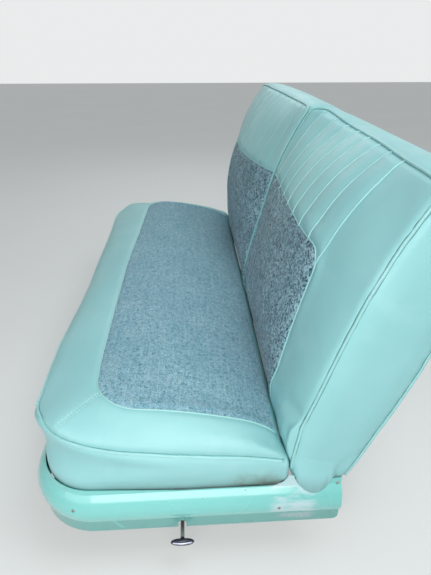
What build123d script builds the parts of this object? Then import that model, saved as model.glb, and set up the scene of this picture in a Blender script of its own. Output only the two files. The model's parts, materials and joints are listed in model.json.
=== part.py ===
from build123d import *
import os

# Front bench seat of a two-door car of the 1950s: one long cushion and two backrest
# halves that tip forward, on a sliding frame over two floor rails.
# X runs across the seat (+X is the side with the adjuster grip), the seat faces -Y, +Z is up.
# The origin is the centre of the four floor bolts, at floor level. Millimetres.

# Seat cushion
cushion_half_width = 706
cushion_front = -274        # foremost point of the front roll
cushion_nose_z = 266
cushion_brow_y = -215       # on the front roll, above the nose
cushion_brow_z = 312
cushion_belly_y = -257      # on the front face, under the nose
cushion_belly_z = 208
cushion_hem_y = -230        # lower front edge
cushion_crown_y = -125      # where the top is highest
cushion_crown_z = 331
cushion_mid_y = 20
cushion_mid_z = 317
cushion_tail_y = 165        # where the rear roll starts
cushion_tail_z = 284
cushion_tail_mid_y = 211    # on the rear roll
cushion_tail_mid_z = 260
cushion_tail_end_z = 216    # where the rear roll ends on the rear face
cushion_rear = 240          # upright rear face
cushion_corner_r = 182      # front corners at the nose's height, seen from above
cushion_foot_corner_r = 120 # and at the underside, where they are fuller
cushion_plan_play = 8       # how far the plan reaches past the front roll
cushion_foot_play = 16      # and past the lower front edge
cushion_side_z = 230        # where the side turns into the top
cushion_shoulder = 100      # width of that turn
base_inset = 6              # the cushion's foot is narrower, to stand inside the skirts
base_front_inset = 32
base_corner_r = 100
base_top_z = 172

# Pressed frame under the cushion
frame_bottom_z = 84
frame_h = 56
frame_wall = 2.5
rail_w = 32                 # width of the frame's channels
side_member_inset = 50      # from the cushion's side to the middle of a side member
front_rail_setback = 55     # from the cushion's front to the middle of the front rail
rear_rail_setback = 18
wire = 4                    # zigzag springs, flat wire
spring_count = 7
spring_pitch_x = 180
spring_amp = 24             # half the width of a zigzag
spring_step = 34            # distance from rung to rung
spring_bend_sides = 6       # flats that a full turn of a bend would have

# Floor rails, slides and feet
track_x = 520
foot_reach = 23             # from the floor rail's end to the bolt holes
foot_bolt_d = 11
foot_t = 4
foot_w = 60
foot_flange = 44
foot_corner_r = 12
rail_z = 30                 # underside of the floor rail
floor_rail_len = 430
floor_rail_w = 52
floor_rail_h = 24
floor_rail_wall = 4
rail_slot = 22              # open slot along the top
slide_len = 320
slide_play = 0.4
slide_foot_h = 6
slide_neck = 8
slide_flange_w = 44
slide_flange_t = 4
rack_pitch = 14
rack_notch = 6
rack_count = 11

# Seat adjuster
rod_d = 8
rod_y = 34
rod_z = 69
rod_reach = 13              # how far the rod stands out of the skirt
grip_len = 42
grip_d = 13
grip_h = 26
grip_lean = 70              # degrees
latch_t = 5
latch_gap = 5               # air under the raised latch teeth
latch_teeth = 3
tooth_play = 1

# Painted skirts
skirt_proud = 29            # from the cushion's side to the outermost point of the bulge
skirt_front_proud = 5       # the same at the front
skirt_t = 2
skirt_bottom_z = 75
skirt_flute_z = 108         # groove over the lower band
skirt_flute_h = 6
skirt_bulge_z = 137
skirt_shoulder_z = 170
skirt_top_z = 196
skirt_band_inset = 7        # how far each line lies inside the bulge
skirt_flute_inset = 3
skirt_shoulder_inset = 19
skirt_rim_inset = 24
skirt_corner_r = 140
skirt_rear_y = 357
skirt_heel_r = 12           # lower rear corner
skirt_end_inset = 175       # from the skirt's side to where it ends on the front
skirt_joint_gap = 1
skirt_front_edge_z = 180    # top edge at the front, and beside the cushion
skirt_side_edge_z = 171
skirt_dip_y = 30            # where it has fallen to the side's height
skirt_rise_y = 215          # where it rises to an ear behind the cushion
ear_y = 250
ear_z = 194
ear_w = 10
scallop_y = 290             # cut-out round the backrest's foot
scallop_z = 160
scallop_end_y = 338
scallop_end_z = 182
tab_w = 30                  # tabs that hold the skirts to the frame
tab_t = 3
tab_z = 96
side_tab_ys = (-130, 190)
valance_tab_x = 300

# Backrest halves, measured from the hinge pin: back along Y and up along Z
hinge_setback = 22          # from the cushion's rear face to the pin
hinge_z = 260
gap_half = 5                # half the gap between the two halves
pad_inset = 3               # from the cushion's side to the backrest's side
pad_low = (-10, -64)        # lower front, under the pin
pad_sole_turn = (2, -94)    # on the turn into the underside
pad_sole_front = 33         # underside
pad_sole_rear = 93
pad_sole_up = -110
pad_heel = (107, -95)       # rear face, from its lower edge to its upper one
pad_waist = (201, 146)
pad_rear_top = (272, 494)
pad_crest_rise = 6          # how far the top bulges over the crest
knee_up = 62                # heights of the front face's stations
belly_up = 153
shoulder_up = 332
roll_up = 440
board_t = 4                 # board on the rear face
board_margin = 14
board_inset = 3             # how deep the board lies in the pad

# Front face of each half, from the inner to the outer edge. The right half is fuller.
# Columns: the section's place as a share of the half's width, then back from the pin at the
# knee, belly, shoulder and roll, then the crest's place back and up
LEFT_PAD = (
    (0, -24, 2, 47, 88, 140, 534),
    (0.2436, -24, -11, 41, 96, 188, 519),
    (0.6877, -24, -9, 35, 90, 177, 515),
    (1, 6, 28, 84, 128, 166, 513),
)
RIGHT_PAD = (
    (0, -24, -3, 46, 87, 139, 535),
    (0.2436, -27, -26, 4, 58, 138, 538),
    (0.6877, -27, -37, -8, 42, 126, 542),
    (1, -25, -26, 20, 56, 124, 540),
)

# Hinges and stops
pivot_d = 12
pivot_play = 0.05
pivot_start = 30            # inner end of the pivot rod
pivot_end_inset = 13        # from the backrest's side to its outer end
arm_t = 8
arm_eye_r = 17
arm_gap = 5                 # air beside and around the arms
arm_foot_w = 26
inner_arm_x = 60
outer_arm_inset = 63
stop_x = 360
stop_back = 72              # middle of the buffers, back from the pin
stop_d = 28
stop_h = 44
stop_leaf_t = 5
stop_w = 44
stop_air = 0.3

hinge_y = cushion_rear + hinge_setback
pad_outer_x = cushion_half_width - pad_inset
pad_width = pad_outer_x - gap_half
pivot_end = pad_outer_x - pivot_end_inset
arm_xs = (("inner", inner_arm_x), ("outer", pad_outer_x - outer_arm_inset))
frame_top_z = frame_bottom_z + frame_h
cushion_bottom_z = frame_top_z + wire
side_member_x = cushion_half_width - side_member_inset
front_rail_y = cushion_front + front_rail_setback
rear_rail_y = cushion_rear - rear_rail_setback
frame_front_face = front_rail_y - rail_w / 2
frame_rear_face = rear_rail_y + rail_w / 2
skirt_x = cushion_half_width + skirt_proud
skirt_front_y = cushion_front - skirt_front_proud
skirt_end_x = skirt_x - skirt_end_inset
rod_tip_x = skirt_x + rod_reach
slide_floor_z = rail_z + floor_rail_wall + slide_play
foot_y = floor_rail_len / 2 + foot_reach

os.makedirs("parts", exist_ok=True)


def finish(builder, label):
    """Labels a finished piece and writes it to its file."""
    builder.part.label = label
    export_step(builder.part, f"parts/{label}.step")


def mirrored(builder):
    """The same piece for the other side of the seat."""
    with BuildPart() as other:
        add(mirror(builder.part, about=Plane.YZ))
    return other


def pin_plane(x):
    """A plane across the seat at x, with the hinge pin at its origin."""
    return Plane(origin=(x, hinge_y, hinge_z), x_dir=(0, 1, 0), z_dir=(1, 0, 0))


# Floor rails: channels with in-turned lips, notched for the latch
with BuildPart() as floor_rail:
    with BuildSketch(Plane.XZ.offset(-floor_rail_len / 2)):
        with Locations((track_x, rail_z + floor_rail_h / 2)):
            Rectangle(floor_rail_w, floor_rail_h)
            Rectangle(floor_rail_w - 2 * floor_rail_wall, floor_rail_h - 2 * floor_rail_wall,
                      mode=Mode.SUBTRACT)
        with Locations((track_x, rail_z + floor_rail_h)):
            Rectangle(rail_slot, 3 * floor_rail_wall, mode=Mode.SUBTRACT)
    extrude(amount=floor_rail_len)
    with BuildSketch(Plane.XY.offset(rail_z + floor_rail_h)):
        with Locations((track_x + rail_slot / 2, rod_y)):
            with GridLocations(0, rack_pitch, 1, rack_count):
                Rectangle(rack_notch, rack_notch)
    extrude(amount=-floor_rail_wall, mode=Mode.SUBTRACT)
finish(floor_rail, "floor_rail_left")
finish(mirrored(floor_rail), "floor_rail_right")

# Feet: pressed hats under the rails' ends, each with one bolt flange pointing outwards
foot_top_len = foot_flange + 2 * foot_t
foot_web_y = foot_y - foot_flange / 2
for place, toward in (("front", -1), ("rear", 1)):
    with BuildPart() as foot:
        with BuildSketch(Plane.YZ.offset(track_x - foot_w / 2)):
            with BuildLine():
                Polyline(
                    (toward * (foot_web_y + foot_flange), 0),
                    (toward * (foot_web_y - foot_t), 0),
                    (toward * (foot_web_y - foot_t), rail_z - foot_t),
                    (toward * (foot_web_y - foot_top_len), rail_z - foot_t),
                    (toward * (foot_web_y - foot_top_len), 0),
                    (toward * (foot_web_y - foot_top_len - foot_t), 0),
                    (toward * (foot_web_y - foot_top_len - foot_t), rail_z),
                    (toward * foot_web_y, rail_z),
                    (toward * foot_web_y, foot_t),
                    (toward * (foot_web_y + foot_flange), foot_t),
                    close=True,
                )
            make_face()
        extrude(amount=foot_w)
        with BuildSketch(Plane.XY):
            with Locations((track_x, toward * foot_y)):
                Circle(foot_bolt_d / 2)
        extrude(amount=foot_t, mode=Mode.SUBTRACT)
        outer_edges = foot.edges().filter_by(Axis.Z).group_by(Axis.Y)[0 if toward < 0 else -1]
        fillet(outer_edges, foot_corner_r)
    finish(foot, f"rail_foot_{place}_left")
    finish(mirrored(foot), f"rail_foot_{place}_right")

# Slides: the foot runs inside the floor rail, the flange carries the seat frame
with BuildPart() as slide:
    with BuildSketch(Plane.XZ.offset(-slide_len / 2)):
        with Locations((track_x, slide_floor_z)):
            Rectangle(floor_rail_w - 2 * floor_rail_wall - 2 * slide_play, slide_foot_h,
                      align=(Align.CENTER, Align.MIN))
            Rectangle(slide_neck, frame_bottom_z - slide_floor_z, align=(Align.CENTER, Align.MIN))
        with Locations((track_x, frame_bottom_z)):
            Rectangle(slide_flange_w, slide_flange_t, align=(Align.CENTER, Align.MAX))
    extrude(amount=slide_len)
    with BuildSketch(Plane.YZ.offset(track_x - slide_neck / 2)):
        with Locations((rod_y, rod_z)):
            Circle(rod_d / 2)
    extrude(amount=slide_neck, mode=Mode.SUBTRACT)
finish(slide, "slide_rail_left")
finish(mirrored(slide), "slide_rail_right")

# Adjuster: a rod across both slides, with a raised latch on each and a T grip outside
rod_far_end = track_x + slide_neck + latch_t
with BuildPart() as rod:
    with BuildSketch(Plane.YZ.offset(-rod_far_end)):
        with Locations((rod_y, rod_z)):
            Circle(rod_d / 2)
    extrude(amount=rod_tip_x + rod_far_end)
finish(rod, "adjuster_rod")

with BuildPart() as grip:
    with BuildSketch(Plane.XZ.offset(-rod_y - grip_len / 2)):
        with Locations((rod_tip_x + grip_d / 2, rod_z - rod_d / 2)):
            SlotOverall(grip_h, grip_d, rotation=grip_lean)
    extrude(amount=grip_len)
    chamfer(grip.edges().group_by(Axis.Y)[0] + grip.edges().group_by(Axis.Y)[-1], grip_d / 6)
    with BuildSketch(Plane.YZ.offset(rod_tip_x - grip_h)):
        with Locations((rod_y, rod_z)):
            Circle(rod_d / 2)
    extrude(amount=grip_h, mode=Mode.SUBTRACT)
finish(grip, "adjuster_grip")

tooth_z = rail_z + floor_rail_h + latch_gap
with BuildPart() as latch:
    with BuildSketch(Plane.YZ.offset(track_x + slide_neck / 2)):
        with Locations((rod_y, rod_z)):
            Circle(rod_d)
        with Locations((rod_y, tooth_z)):
            with GridLocations(rack_pitch, 0, latch_teeth, 1):
                Rectangle(rack_notch - tooth_play, rod_d, align=(Align.CENTER, Align.MIN))
            Rectangle(latch_teeth * rack_pitch, rod_d / 2, align=(Align.CENTER, Align.MIN))
            Rectangle(2 * rack_pitch, rod_z - tooth_z, align=(Align.CENTER, Align.MIN))
        with Locations((rod_y, rod_z)):
            Circle(rod_d / 2, mode=Mode.SUBTRACT)
    extrude(amount=latch_t)
finish(latch, "latch_left")
finish(mirrored(latch), "latch_right")

# Seat frame: pressed channels, open downwards
with BuildPart() as side_member:
    with BuildSketch(Plane.XZ.offset(-frame_rear_face)):
        with Locations((side_member_x, frame_bottom_z)):
            Rectangle(rail_w, frame_h, align=(Align.CENTER, Align.MIN))
            Rectangle(rail_w - 2 * frame_wall, frame_h - frame_wall,
                      align=(Align.CENTER, Align.MIN), mode=Mode.SUBTRACT)
    extrude(amount=frame_rear_face - frame_front_face)
finish(side_member, "frame_side_left")
finish(mirrored(side_member), "frame_side_right")

cross_len = 2 * (side_member_x - rail_w / 2)
for place, middle_y in (("front", front_rail_y), ("rear", rear_rail_y)):
    with BuildPart() as cross_rail:
        with BuildSketch(Plane.YZ.offset(-cross_len / 2)):
            with Locations((middle_y, frame_bottom_z)):
                Rectangle(rail_w, frame_h, align=(Align.CENTER, Align.MIN))
                Rectangle(rail_w - 2 * frame_wall, frame_h - frame_wall,
                          align=(Align.CENTER, Align.MIN), mode=Mode.SUBTRACT)
        extrude(amount=cross_len)
    finish(cross_rail, f"frame_{place}_rail")

# Zigzag springs from rail to rail: rungs across, joined by half turns left and right
spring_span = rear_rail_y - front_rail_y + rail_w / 2
rungs = int(spring_span / spring_step) + 1
bend_r = spring_step / 2
with BuildSketch() as zigzag:
    with Locations((0, (front_rail_y + rear_rail_y) / 2)):
        with GridLocations(0, spring_step, 1, rungs):
            Rectangle(2 * spring_amp, wire)
        for side, shift in ((-1, 0), (1, 1)):
            first = -(rungs - 1) / 2 * spring_step + bend_r + shift * spring_step
            for turn in range((rungs - shift) // 2):
                with Locations((side * spring_amp, first + turn * 2 * spring_step)):
                    with BuildSketch(mode=Mode.PRIVATE) as bend:
                        RegularPolygon(bend_r + wire / 2, spring_bend_sides, major_radius=False)
                        RegularPolygon(bend_r - wire / 2, spring_bend_sides, major_radius=False,
                                       mode=Mode.SUBTRACT)
                        with Locations((-side * spring_step, 0)):
                            Rectangle(2 * spring_step, 3 * spring_step, mode=Mode.SUBTRACT)
                    add(bend.sketch)
with BuildPart() as springs:
    with BuildSketch(Plane.XY.offset(frame_top_z)):
        with GridLocations(spring_pitch_x, 0, spring_count, 1):
            add(zigzag.sketch)
    extrude(amount=wire)
finish(springs, "zigzag_springs")

# Cushion: the plan, cut by the side view and by the front view, with a narrower foot. The
# views reach past the faces that another view makes.
base_half_width = cushion_half_width - base_inset
base_front_y = cushion_front + base_front_inset
with BuildPart() as cushion:
    for up, front, corner_r in (
            (cushion_bottom_z, cushion_hem_y - cushion_foot_play, cushion_foot_corner_r),
            (cushion_nose_z, cushion_front - cushion_plan_play, cushion_corner_r),
            (2 * cushion_nose_z, cushion_front - cushion_plan_play, cushion_corner_r)):
        with BuildSketch(Plane.XY.offset(up)):
            with BuildLine():
                FilletPolyline((-cushion_half_width, 2 * cushion_rear),
                               (-cushion_half_width, front), (cushion_half_width, front),
                               (cushion_half_width, 2 * cushion_rear), radius=corner_r)
                Line((cushion_half_width, 2 * cushion_rear), (-cushion_half_width, 2 * cushion_rear))
            make_face()
    loft(ruled=True)
    with BuildSketch(Plane.YZ.offset(-2 * cushion_half_width)):
        with BuildLine():
            ThreePointArc((cushion_front, cushion_nose_z), (cushion_brow_y, cushion_brow_z),
                          (cushion_crown_y, cushion_crown_z))
            ThreePointArc((cushion_crown_y, cushion_crown_z), (cushion_mid_y, cushion_mid_z),
                          (cushion_tail_y, cushion_tail_z))
            ThreePointArc((cushion_tail_y, cushion_tail_z),
                          (cushion_tail_mid_y, cushion_tail_mid_z),
                          (cushion_rear, cushion_tail_end_z))
            Polyline((cushion_rear, cushion_tail_end_z), (cushion_rear, cushion_bottom_z),
                     (cushion_hem_y, cushion_bottom_z))
            ThreePointArc((cushion_hem_y, cushion_bottom_z), (cushion_belly_y, cushion_belly_z),
                          (cushion_front, cushion_nose_z))
        make_face()
    extrude(amount=4 * cushion_half_width, mode=Mode.INTERSECT)
    side_x = cushion_half_width + cushion_plan_play
    top_x = cushion_half_width - cushion_shoulder
    top_z = cushion_crown_z + 1
    with BuildSketch(Plane.XZ.offset(-2 * cushion_rear)):
        with BuildLine():
            Polyline((-side_x, cushion_side_z), (-side_x, 0), (side_x, 0), (side_x, cushion_side_z))
            TangentArc((side_x, cushion_side_z), (top_x, top_z), tangent=(0, 1))
            TangentArc((-side_x, cushion_side_z), (-top_x, top_z), tangent=(0, 1))
            Line((-top_x, top_z), (top_x, top_z))
        make_face()
    extrude(amount=4 * cushion_half_width, mode=Mode.INTERSECT)
    with BuildSketch(Plane.XY.offset(cushion_bottom_z)):
        Rectangle(4 * cushion_half_width, 4 * cushion_rear)
        with BuildLine():
            FilletPolyline((-base_half_width, 2 * cushion_rear), (-base_half_width, base_front_y),
                           (base_half_width, base_front_y), (base_half_width, 2 * cushion_rear),
                           radius=base_corner_r)
            Line((base_half_width, 2 * cushion_rear), (-base_half_width, 2 * cushion_rear))
        make_face(mode=Mode.SUBTRACT)
    extrude(amount=base_top_z - cushion_bottom_z, mode=Mode.SUBTRACT)
finish(cushion, "seat_cushion")

# Painted skirts: one pressed section along the side, round the corner and across the front.
# Columns: inward from the bulge, height
SKIRT_FACE = {
    "bottom": (skirt_band_inset, skirt_bottom_z),
    "band_top": (skirt_band_inset, skirt_flute_z - skirt_flute_h / 2),
    "flute": (skirt_flute_inset, skirt_flute_z + skirt_flute_h / 2),
    "bulge": (0, skirt_bulge_z),
    "shoulder": (skirt_shoulder_inset, skirt_shoulder_z),
    "rim": (skirt_rim_inset, skirt_top_z),
}


def skirt_section():
    """Draws the sheet's closed outline in the open line block."""
    outer = {name: (-inset, up) for name, (inset, up) in SKIRT_FACE.items()}
    inner = {name: (-inset - skirt_t, up) for name, (inset, up) in SKIRT_FACE.items()}
    for face in (outer, inner):
        Polyline(face["bottom"], face["band_top"], face["flute"])
        ThreePointArc(face["flute"], face["bulge"], face["shoulder"])
        Line(face["shoulder"], face["rim"])
    Line(outer["bottom"], inner["bottom"])
    Line(outer["rim"], inner["rim"])


tab_end_inset = skirt_band_inset + skirt_t / 2
with BuildPart() as side_skirt:
    with BuildLine() as edge:
        FilletPolyline((skirt_x, skirt_rear_y), (skirt_x, skirt_front_y),
                       (skirt_end_x, skirt_front_y), radius=skirt_corner_r)
    with BuildSketch(Plane(origin=(skirt_x, skirt_rear_y, 0), x_dir=(1, 0, 0), z_dir=(0, -1, 0))):
        with BuildLine():
            skirt_section()
        make_face()
    sweep(path=edge.line)
    # Top edge: falls rearward, rises to an ear, and is scalloped round the backrest's foot
    with BuildSketch(Plane.YZ.offset(skirt_end_x - skirt_joint_gap)):
        with BuildLine():
            Polyline((2 * skirt_front_y, skirt_front_edge_z),
                     (skirt_front_y + skirt_corner_r, skirt_front_edge_z),
                     (skirt_dip_y, skirt_side_edge_z), (skirt_rise_y, skirt_side_edge_z))
            TangentArc((skirt_rise_y, skirt_side_edge_z), (ear_y, ear_z), tangent=(1, 0))
            Line((ear_y, ear_z), (ear_y + ear_w, ear_z))
            ThreePointArc((ear_y + ear_w, ear_z), (scallop_y, scallop_z),
                          (scallop_end_y, scallop_end_z))
            Polyline((scallop_end_y, scallop_end_z), (2 * skirt_rear_y, skirt_top_z),
                     (2 * skirt_rear_y, 2 * skirt_top_z), (2 * skirt_front_y, 2 * skirt_top_z),
                     (2 * skirt_front_y, skirt_front_edge_z))
        make_face()
    extrude(amount=2 * skirt_x, mode=Mode.SUBTRACT)
    # Lower edge: a rounded rear corner and a notch for the adjuster's rod
    heel_edges = side_skirt.edges().filter_by(Axis.X).group_by(Axis.Y)[-1].sort_by(Axis.Z)[0]
    fillet(heel_edges, skirt_heel_r)
    with BuildSketch(Plane.YZ.offset(skirt_x - 2 * rod_d)):
        with Locations((rod_y, skirt_bottom_z)):
            SlotOverall(5 * rod_d, 2 * rod_d, rotation=90)
    extrude(amount=3 * rod_d, mode=Mode.SUBTRACT)
    # Tabs to the frame's side member
    with BuildSketch(Plane.YZ.offset(side_member_x + rail_w / 2)):
        with Locations(*[(y, tab_z) for y in side_tab_ys]):
            Rectangle(tab_w, tab_t)
    extrude(amount=skirt_x - tab_end_inset - side_member_x - rail_w / 2)
finish(side_skirt, "side_skirt_left")
finish(mirrored(side_skirt), "side_skirt_right")

valance_end = skirt_end_x - skirt_joint_gap
with BuildPart() as valance:
    with BuildSketch(Plane(origin=(valance_end, skirt_front_y, 0), x_dir=(0, -1, 0),
                           z_dir=(-1, 0, 0))):
        with BuildLine():
            skirt_section()
        make_face()
    extrude(amount=2 * valance_end)
    with BuildSketch(Plane.XY.offset(skirt_front_edge_z)):
        Rectangle(4 * valance_end, 4 * skirt_x)
    extrude(amount=skirt_top_z, mode=Mode.SUBTRACT)
    with BuildSketch(Plane.XZ.offset(-frame_front_face)):
        with Locations((-valance_tab_x, tab_z), (valance_tab_x, tab_z)):
            Rectangle(tab_w, tab_t)
    extrude(amount=frame_front_face - skirt_front_y - tab_end_inset)
finish(valance, "front_valance")


def board_section():
    """Draws the closed outline of the board on a backrest's rear face."""
    top = (pad_rear_top[0], pad_rear_top[1] - board_margin)
    bottom = (pad_heel[0], pad_heel[1] + board_margin)
    for back in (-board_inset, board_t - board_inset):
        ThreePointArc(*[(y + back, z) for y, z in (top, pad_waist, bottom)])
    for y, z in (top, bottom):
        Line((y - board_inset, z), (y + board_t - board_inset, z))


# Backrest halves: lofted pads with a board's recess, slots for the hinge arms, open to the
# front and below, and a bore for the pivot rod
for side, sections in (("left", LEFT_PAD), ("right", RIGHT_PAD)):
    with BuildPart() as pad:
        for share, knee, belly, shoulder, roll, crest, crest_up in sections:
            with BuildSketch(pin_plane(gap_half + share * pad_width)):
                with BuildLine():
                    ThreePointArc((knee, knee_up), (belly, belly_up), (shoulder, shoulder_up))
                    ThreePointArc((shoulder, shoulder_up), (roll, roll_up), (crest, crest_up))
                    ThreePointArc((crest, crest_up),
                                  ((crest + pad_rear_top[0]) / 2, crest_up + pad_crest_rise),
                                  pad_rear_top)
                    ThreePointArc(pad_rear_top, pad_waist, pad_heel)
                    Polyline(pad_heel, (pad_sole_rear, pad_sole_up),
                             (pad_sole_front, pad_sole_up))
                    ThreePointArc((pad_sole_front, pad_sole_up), pad_sole_turn, pad_low)
                    Line(pad_low, (knee, knee_up))
                make_face()
        loft()
        with BuildSketch(pin_plane(gap_half + board_margin)):
            with BuildLine():
                board_section()
            make_face()
        extrude(amount=pad_width - 2 * board_margin, mode=Mode.SUBTRACT)
        for _, x in arm_xs:
            with BuildSketch(pin_plane(x - arm_t / 2 - arm_gap)):
                Circle(arm_eye_r + arm_gap)
                with Locations((0, arm_eye_r + arm_gap)):
                    Rectangle(4 * arm_eye_r, 4 * arm_eye_r, align=(Align.MAX, Align.MAX))
                with Locations((arm_eye_r + arm_gap, 0)):
                    Rectangle(4 * arm_eye_r, -2 * pad_sole_up, align=(Align.MAX, Align.MAX))
            extrude(amount=arm_t + 2 * arm_gap, mode=Mode.SUBTRACT)
        with BuildSketch(pin_plane(pivot_start)):
            Circle(pivot_d / 2)
        extrude(amount=pivot_end - pivot_start, mode=Mode.SUBTRACT)
    finish(pad if side == "left" else mirrored(pad), f"backrest_pad_{side}")

# Board on the back of each half, let into the pad's rear face
with BuildPart() as board:
    with BuildSketch(pin_plane(gap_half + board_margin)):
        with BuildLine():
            board_section()
        make_face()
    extrude(amount=pad_width - 2 * board_margin)
finish(board, "back_board_left")
finish(mirrored(board), "back_board_right")

# Pivot rods turn with the backrests in the eyes of the arms, which stand on the seat frame
with BuildPart() as pivot:
    with BuildSketch(pin_plane(pivot_start)):
        Circle(pivot_d / 2)
    extrude(amount=pivot_end - pivot_start)
finish(pivot, "pivot_rod_left")
finish(mirrored(pivot), "pivot_rod_right")

for place, x in arm_xs:
    with BuildPart() as arm:
        with BuildSketch(Plane.YZ.offset(x - arm_t / 2)):
            with BuildLine():
                Polyline((frame_rear_face, frame_bottom_z),
                         (frame_rear_face + arm_foot_w, frame_bottom_z),
                         (hinge_y + arm_eye_r, hinge_z), (hinge_y - arm_eye_r, hinge_z),
                         (hinge_y - arm_eye_r, cushion_bottom_z), (frame_rear_face, frame_top_z),
                         close=True)
            make_face()
            with Locations((hinge_y, hinge_z)):
                Circle(arm_eye_r)
                Circle(pivot_d / 2 + pivot_play, mode=Mode.SUBTRACT)
        extrude(amount=arm_t)
    finish(arm, f"hinge_arm_{place}_left")
    finish(mirrored(arm), f"hinge_arm_{place}_right")

# Stops: rubber buffers on leaves behind the rear rail carry the backrests at rest
stop_y = hinge_y + stop_back
sole_z = hinge_z + pad_sole_up
leaf_z = sole_z - stop_h
with BuildPart() as leaf:
    with BuildSketch(Plane.YZ.offset(stop_x - stop_w / 2)):
        with BuildLine():
            Polyline((frame_rear_face, frame_bottom_z), (frame_rear_face, frame_top_z),
                     (frame_rear_face + stop_leaf_t, frame_top_z),
                     (frame_rear_face + stop_leaf_t, leaf_z), (stop_y + stop_d / 2, leaf_z),
                     (stop_y + stop_d / 2, leaf_z - stop_leaf_t),
                     (frame_rear_face + stop_leaf_t, leaf_z - stop_leaf_t),
                     (frame_rear_face + stop_leaf_t, frame_bottom_z), close=True)
        make_face()
    extrude(amount=stop_w)
finish(leaf, "stop_leaf_left")
finish(mirrored(leaf), "stop_leaf_right")

with BuildPart() as buffer:
    with BuildSketch(Plane.XY.offset(leaf_z)):
        with Locations((stop_x, stop_y)):
            Circle(stop_d / 2)
    extrude(amount=sole_z - stop_air - leaf_z)
finish(buffer, "stop_buffer_left")
finish(mirrored(buffer), "stop_buffer_right")
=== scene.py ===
import json
import math

import bpy
import numpy as np
from mathutils import Matrix, Vector, noise
from mathutils.bvhtree import BVHTree
from mathutils.kdtree import KDTree


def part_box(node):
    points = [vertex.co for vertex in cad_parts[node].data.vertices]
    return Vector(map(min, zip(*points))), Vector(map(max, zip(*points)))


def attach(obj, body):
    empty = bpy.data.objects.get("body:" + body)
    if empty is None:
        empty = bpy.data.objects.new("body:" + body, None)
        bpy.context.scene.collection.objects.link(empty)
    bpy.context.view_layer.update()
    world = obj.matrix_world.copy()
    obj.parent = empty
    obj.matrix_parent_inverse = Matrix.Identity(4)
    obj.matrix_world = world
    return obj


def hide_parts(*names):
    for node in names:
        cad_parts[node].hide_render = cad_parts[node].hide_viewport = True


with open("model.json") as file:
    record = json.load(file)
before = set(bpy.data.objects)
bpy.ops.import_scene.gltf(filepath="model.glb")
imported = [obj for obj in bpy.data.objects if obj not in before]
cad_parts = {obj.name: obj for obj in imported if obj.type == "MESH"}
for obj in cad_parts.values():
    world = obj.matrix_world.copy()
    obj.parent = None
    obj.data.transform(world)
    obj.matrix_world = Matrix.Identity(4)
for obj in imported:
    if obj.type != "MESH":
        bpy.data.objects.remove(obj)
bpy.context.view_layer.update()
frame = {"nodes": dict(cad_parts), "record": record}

nodes = frame["nodes"]
scene = bpy.context.scene
UP = Vector((0, 0, 1))
BACK = Vector((0, 1, 0))

# Padding and covers
VOXEL = 0.0098
SHRINK = 0.007  # of the padding before it swells
SWELL_CAP = 0.011
CLOTH_FRAMES = 20
CLOTH = {"use_pressure": True, "uniform_pressure_force": 4, "vertex_group_mass": "held",
         "quality": 5, "mass": 0.3, "tension_stiffness": 15, "compression_stiffness": 15,
         "bending_stiffness": 0.8}
SEAM_PIN = 0.005  # cloth this near a seam is held by it
SEAM_FADE = 0.03  # and it gets free over this much
HELD_BELOW = 0.02  # points less free than this stay
RIPPLE = 0.0011  # soft unevenness of a cover
RIPPLE_SCALE = 11.0

# Cords and stitches
PATH_STEP = 0.005
PIPING_R = 0.003
PIPING_LIFT = PIPING_R * 0.8
SHADE_CORD_R = 0.0052  # painted shade: a dark vinyl cord under a piping, showing as shadow lines beside it
SHADE_CORD_SUNK = 0.0029
WELT_R = 0.0015

# Seams draw the covers in, as (depth, width)
OUTLINE_PINCH = (0.005, 0.0075)
FRONT_PINCH = (0.0045, 0.0075)
SMALL_PINCH = (0.003, 0.006)
MITRE_PINCH = (0.0016, 0.005)

# Sheets of brocade on the covers
SHEET_SUNK = 0.0008  # depth of their edges
SHEET_RISE = 0.0028  # from the edge to the flat
SHEET_FADE = 0.012  # width of that rise

# Rays that look for the covers
OVER_Z = 0.6  # they start this high over the cushion
AHEAD_Y = -1  # and here ahead of the backrests
CUSHION_Z = 0.26  # about the cushion's top, for rays that miss it
BACKREST_REACH = 1.3  # and the same for a backrest
RISE_REACH = 0.15  # from a backrest's slope

# Cushion
INSERT_SIDE_X = 0.645  # brocade insert, half its width
INSERT_REAR_Y = 0.2275
INSERT_CORNER_R = 0.092
INSERT_ROWS = 76
# Insert's front seam as (x, y)
INSERT_FRONT = ((-0.62, -0.11), (-0.536, -0.114), (-0.281, -0.125), (-0.007, -0.138),
                (0.177, -0.139), (0.323, -0.14), (0.466, -0.139), (0.58, -0.136))
# Boxing's top seam on one side as (x, y, z), from rear to front
BOXING_EDGE = (
    (0.708, 0.236, 0.231), (0.708, 0.17, 0.242), (0.708, 0.07, 0.252), (0.708, -0.01, 0.262),
    (0.708, -0.085, 0.273), (0.706, -0.125, 0.281), (0.699, -0.148, 0.284),
    (0.675, -0.181, 0.286), (0.641, -0.214, 0.286), (0.615, -0.239, 0.285),
    (0.588, -0.258, 0.283), (0.56, -0.271, 0.282), (0.5, -0.272, 0.282), (0.25, -0.272, 0.282))
# Mitre seam outwards from the insert's corner as (x, y), and the way across it
MITRE = ((0.592, -0.112), (0.6, -0.122), (0.618, -0.1435), (0.635, -0.164),
         (0.6535, -0.1835), (0.662, -0.194))
MITRE_ACROSS = (0.75, 0.66)
MITRE_STITCHES = (-0.0042, 0.0042)  # rows of stitches beside it
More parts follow.
